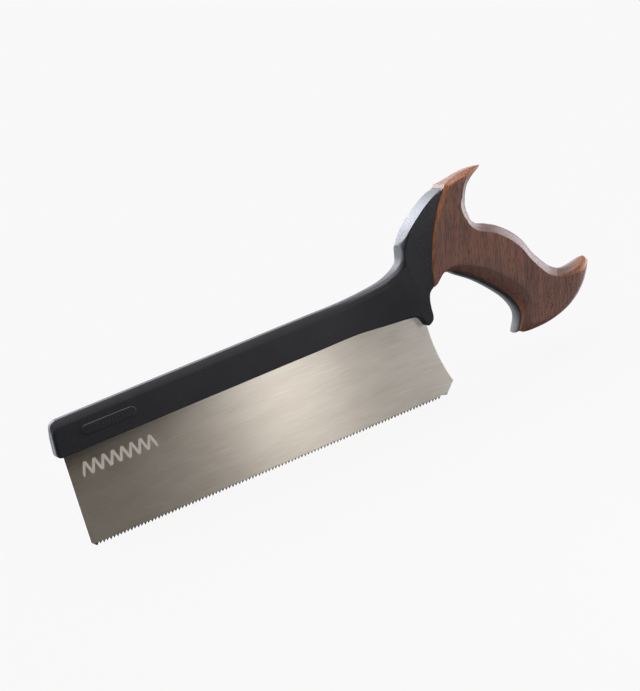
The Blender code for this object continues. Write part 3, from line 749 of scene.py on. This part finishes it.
def grip_stations():
    half = GRIP_THICK / 2
    edge = BOSS_THICK / 2
    palm = INSERT_WIDTH / 2
    band = 0.12

    def shape(foot, head, *rest):
        return row(handle(*foot), handle(*head), *rest)

    # The last three numbers of a row are the orange edge tint at the foot and at the head, partly painted
    # highlight, and the painted shade of the finger scoop.
    upper_horn = [
        shape((83.6, 82.8), (83.2, 81.8), 2.2, (0.4, 1.6, 0.5), (0.4, 1.6, band), (1.0, 0.3, 0.0)),
        shape((76.0, 83.7), (76.4, 78.4), half - 4.8, (2.4, 3.0, 0.6), (2.4, 3.0, band), (1.0, 0.1, 0.0)),
        shape((67.0, 83.4), (69.6, 73.4), half - 1.2, (4.0, 3.5, 0.6), (5.4, 3.5, band), (1.0, 0.0, 0.0)),
        shape((57.5, 81.7), (65.2, 67.0), half, (3.0, 4.0, 0.6), (6.2, 4.0, band), (1.0, 0.0, 0.0)),
        row(joint(1.0, GAP), handle(63.1, 61.5), half, (3.6, edge, 0.1), (6.3, 4.0, band), (1.0, 0.0, 0.0)),
    ]
    rears = [(63.0, 61.5), (62.4, 59.2), (62.1, 57.2), (62.0, 55.4), (62.1, 53.8), (62.3, 52.6)]
    chamfers = [3.6, 3.4, 2.8, 2.2, 1.6, 1.2]
    # The joint's chamfer is tinted orange, partly painted highlight.
    tints_and_light = [0.9, 0.75, 0.65, 0.6, 0.6, 0.5]
    last = len(rears) - 1
    root = [
        row(joint(1 - n / last, GAP), handle(*rear), half, (chamfers[n], edge, 0.1), (6.4, 4.0, band),
            (tints_and_light[n], 0.0, 0.0))
        for n, rear in enumerate(rears)
    ]
    crook = [
        root[-1],
        shape((18.9, 12.4), (62.7, 50.8), half, (1.8, edge - 0.8, 0.3), (6.3, 4.0, band), (0.5, 0.0, 0.0)),
        shape((20.8, 14.9), (63.6, 48.7), half, (3.0, edge - 3.0, 0.5), (6.4, 4.0, band), (0.3, 0.0, 0.2)),
        shape((24.2, 17.0), (65.6, 45.7), half, (4.4, edge - 4.4, 0.5), (6.5, 4.0, band), (0.15, 0.0, 0.4)),
        shape((29.0, 18.4), (69.4, 42.2), half, (5.6, edge - 4.6, 0.4), (6.8, 4.0, band), (0.0, 0.0, 0.7)),
        row(handle(*FINGER_LINE[0][:2]), handle(*FINGER_LINE[0][2:4]), half,
            (FINGER_LINE[0][4], palm, 0.6), (6.9, 4.0, band), (0.0, 0.0, 0.9)),
    ]
    # The foot tint on the lowest finger rows is a painted highlight on the wood beside the insert's lower
    # end.
    fingers = [
        row(handle(*line[:2]), handle(*line[2:4]), half, (line[4], palm, 0.7), (6.6, 4.0, band),
            (max(0.0, 0.2 * n - 0.7), 0.0, 1.0))
        for n, line in enumerate(FINGER_LINE)
    ]
    lower_horn = [
        fingers[-1],
        shape((75.6, -46.0), (121.5, -12.9), half, (8.0, 5.5, 0.7), (6.9, 4.0, 0.35), (0.3, 0.0, 0.7)),
        shape((87.0, -46.9), (126.5, -13.3), half, (7.0, 4.5, 0.8), (7.5, 4.0, 0.6), (0.0, 0.1, 0.2)),
        shape((102.0, -45.3), (131.5, -13.1), half, (7.0, 4.0, 0.9), (8.0, 4.0, 0.9), (0.0, 0.4, 0.0)),
        shape((117.5, -40.3), (136.2, -12.3), half - 0.5, (7.0, 4.0, 0.9), (8.0, 4.0, 1.0), (0.0, 0.8, 0.0)),
        shape((130.5, -32.0), (139.8, -11.5), half - 2.0, (7.0, 3.8, 0.9), (8.0, 3.8, 1.0), (0.1, 1.0, 0.0)),
        shape((139.2, -22.6), (142.6, -11.3), half - 4.5, (5.0, 3.2, 0.9), (5.0, 3.2, 1.0), (0.5, 1.0, 0.0)),
        shape(HORN_TIP, (HORN_TIP[0] - 0.5, HORN_TIP[1] + 2.2), 2.6, (0.6, 1.8, 0.5), (0.6, 1.8, 0.5),
              (0.8, 1.0, 0.0)),
    ]
    return joined((upper_horn, 1.0), (root, FINE), (crook, 1.0), (fingers, FINE), (lower_horn, FINE))


def build_grip(look):
    obj = finished("wood_handle", loft(grip_stations(), (0.0, 0.8)), look, "wood_grip", "grip_wood")
    bm = bmesh.new()
    height = (WASHER_LOW.z + WASHER_HIGH.z) / 2 / MM
    radius = (WASHER_HIGH.z - WASHER_LOW.z) / 2 / MM + COUNTERBORE_CLEARANCE
    seat = WASHER_LOW.x / MM - FIRST_TOOTH - GAP
    rod(bm, seat, GRIP_HIGH.x / MM - FIRST_TOOTH, height, radius)
    apply_boolean(obj, finished("counterbore_tool", bm, None), "DIFFERENCE")
    even_shading(obj)
    return obj


def insert_outline(proud):
    """(along, across) points of one side of the finger insert's section."""
    wide = INSERT_WIDTH / 2
    angles = [math.radians(90 * n / 10) for n in range(11)]
    arc = [(-proud * math.cos(a) - 0.35, wide * math.sin(a) ** 0.9) for a in angles]
    return arc + [(-GAP / 2, wide * 0.985), (-GAP / 2 + 0.05, wide * 0.5), (-GAP / 2 + 0.05, 0.0)]


def build_insert(look):
    rows = []
    for n, (x0, z0, x1, z1, _) in enumerate(FINGER_LINE):
        proud = INSERT_PROUD * (0.3 if n == 0 else 1.0)
        rows.append([*handle(x0, z0), *handle(x1, z1), proud])
    bm = bmesh.new()
    rings = []
    for x0, z0, x1, z1, proud in smooth(rows, FINE):
        foot = Vector((x0, 0.0, z0))
        along = (Vector((x1, 0.0, z1)) - foot).normalized()
        side = insert_outline(proud)
        loop = side + [(v, -y) for v, y in reversed(side) if abs(y) > 1e-9]
        rings.append([bm.verts.new(foot + along * v + Vector((0.0, y, 0.0))) for v, y in loop])
    skin(bm, rings)
    obj = finished("finger_strip", bm, look, "finger_insert", "insert_rubber")
    even_shading(obj)
    return obj


# Stage

def direction(azimuth, elevation):
    """From the saw towards a place: azimuth 0 is in front (-Y) and 90 is at the grip's end (+X)."""
    a, e = math.radians(azimuth), math.radians(elevation)
    return Vector((math.sin(a) * math.cos(e), -math.cos(a) * math.cos(e), math.sin(e)))


def add_camera():
    data = bpy.data.cameras.new("camera")
    data.lens = CAMERA_LENS
    camera = bpy.data.objects.new("camera", data)
    bpy.context.scene.collection.objects.link(camera)
    back = direction(CAMERA_AZIMUTH, CAMERA_ELEVATION)
    camera.location = AIM + back * CAMERA_DISTANCE
    level = (-back).to_track_quat("-Z", "Y").to_matrix()
    right, up = level.col[0], level.col[1]
    roll = math.radians(CAMERA_ROLL)
    turned_right = right * math.cos(roll) - up * math.sin(roll)
    turned_up = right * math.sin(roll) + up * math.cos(roll)
    level.col[0], level.col[1] = turned_right, turned_up
    camera.rotation_euler = level.to_euler()
    bpy.context.scene.camera = camera


def add_light(name, place, aim, size, power, colour):
    data = bpy.data.lights.new(name, "AREA")
    data.shape = "RECTANGLE"
    data.size, data.size_y = size
    data.energy = power
    data.color = colour
    data.use_shadow = False
    light = bpy.data.objects.new(name, data)
    bpy.context.scene.collection.objects.link(light)
    light.location = place
    light.rotation_euler = (aim - place).to_track_quat("-Z", "Y").to_euler()
    light.visible_camera = False


def add_world():
    """Pale to the camera. What the saw reflects is dark in front, with soft panels elsewhere."""
    world = bpy.data.worlds.new("studio")
    bpy.context.scene.world = world
    world.use_nodes = True
    world.cycles.sampling_method = "NONE"
    nodes = Nodes(world.node_tree)
    ramp = nodes.remap
    background = world.node_tree.nodes["Background"]
    place = nodes.node("SeparateXYZ")
    nodes.put(place.inputs[0], nodes.node("TexCoord").outputs["Generated"])
    x, y, z = place.outputs
    left = nodes.math("MULTIPLY", x, -1.0)

    def total(*values):
        return reduce(lambda a, b: nodes.math("ADD", a, b), values)

    def product(*values):
        return reduce(lambda a, b: nodes.math("MULTIPLY", a, b), values)

    behind = ramp(y, 0.5, 0.9)
    aside = nodes.math("ABSOLUTE", nodes.math("ADD", x, 0.08))
    overhead = total(ramp(z, 0.45, 0.75, 0.03, 1.15), ramp(z, 0.82, 0.96, 0.0, 8.0))
    grip_end = product(
        ramp(z, 0.3, 0.6, 1.0, 0.4), ramp(y, 0.4, 0.65, 1.0, 0.0), ramp(x, 0.55, 0.95, 0.0, 8.0)
    )
    toe_end = product(ramp(y, -0.6, 0.0), ramp(left, 0.5, 0.9, 0.0, 1.6))
    backdrop = product(behind, ramp(z, -0.1, 0.2, 0.3, 1.6))
    neck_panel = product(behind, ramp(left, 0.2, 0.35, 0.0, 2.4), ramp(left, 0.5, 0.7, 1.0, 0.0))
    boss_panel = product(
        behind, ramp(aside, 0.04, 0.28, 1.0, 0.1), ramp(z, -0.05, 0.32, 1.8, 9.0),
        ramp(z, 0.34, 0.55, 1.0, 0.25)
    )
    reflected = total(overhead, grip_end, toe_end, backdrop, neck_panel, boss_panel)
    path = nodes.node("LightPath").outputs
    nodes.put(background.inputs["Strength"], total(
        product(path["Is Camera Ray"], BACKGROUND),
        product(path["Is Glossy Ray"], reflected),
        product(path["Is Diffuse Ray"], ramp(z, -0.8, 0.9, 0.5, 1.35)),
    ))
    tone = nodes.mix(ramp(y, -0.7, 0.2), (1.15, 1.0, 0.82), (0.93, 0.96, 1.04))
    nodes.put(background.inputs["Color"], nodes.mix(path["Is Glossy Ray"], (1.0, 1.0, 1.0), tone))


def add_floor():
    bm = bmesh.new()
    bmesh.ops.create_grid(bm, x_segments=1, y_segments=1, size=30.0)
    mesh = bpy.data.meshes.new("floor")
    bm.to_mesh(mesh)
    bm.free()
    floor = bpy.data.objects.new("floor", mesh)
    bpy.context.scene.collection.objects.link(floor)
    floor.location.z = cad_box[0].z - FLOOR_DROP
    floor.visible_glossy = False
    floor.visible_diffuse = False
    look = Look("pale_floor", Roughness=0.9)
    look.shader.inputs["Specular IOR Level"].default_value = 0.0
    grain = look.noise(look.position(), 400.0, 2.0, 0.5)
    look.colour(look.mix(grain, (0.048, 0.048, 0.048), (0.052, 0.052, 0.052)))
    look.shader.inputs["Emission Color"].default_value = (1.0, 1.0, 1.0, 1.0)
    look.shader.inputs["Emission Strength"].default_value = FLOOR_GLOW
    mesh.materials.append(look.material)


def add_lights():
    """A narrow light for the bright streak across the blade, and a wider one for its heel."""
    warm, white = (1.0, 0.955, 0.9), (1.0, 1.0, 1.0)
    add_light("streak", Vector((0.188, -0.75, 0.18)), Vector((-0.02, 0.0, 0.05)), (0.09, 0.35), 0.74, warm)
    add_light("side", Vector((0.5, -0.75, 0.18)), Vector((0.1, 0.0, 0.05)), (0.3, 0.35), 1.12, white)


def main():
    bpy.context.scene.view_settings.view_transform = "Standard"
    build_blade(steel_look())
    composite = composite_look()
    build_back(composite)
    build_label(composite)
    build_grip(wood_look())
    build_insert(rubber_look())
    brass = turned_metal_look("turned_brass", (0.5, 0.34, 0.13), (0.72, 0.54, 0.26))
    zinc = turned_metal_look("bright_zinc", (0.42, 0.43, 0.45), (0.66, 0.67, 0.69))
    for node, look in (
        ("threaded_insert", brass), ("round_nut", brass), ("tie_stud", zinc), ("stud_washer", zinc)
    ):
        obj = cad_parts[node]
        obj.data.materials.clear()
        obj.data.materials.append(look)
    add_camera()
    add_world()
    add_floor()
    add_lights()


main()
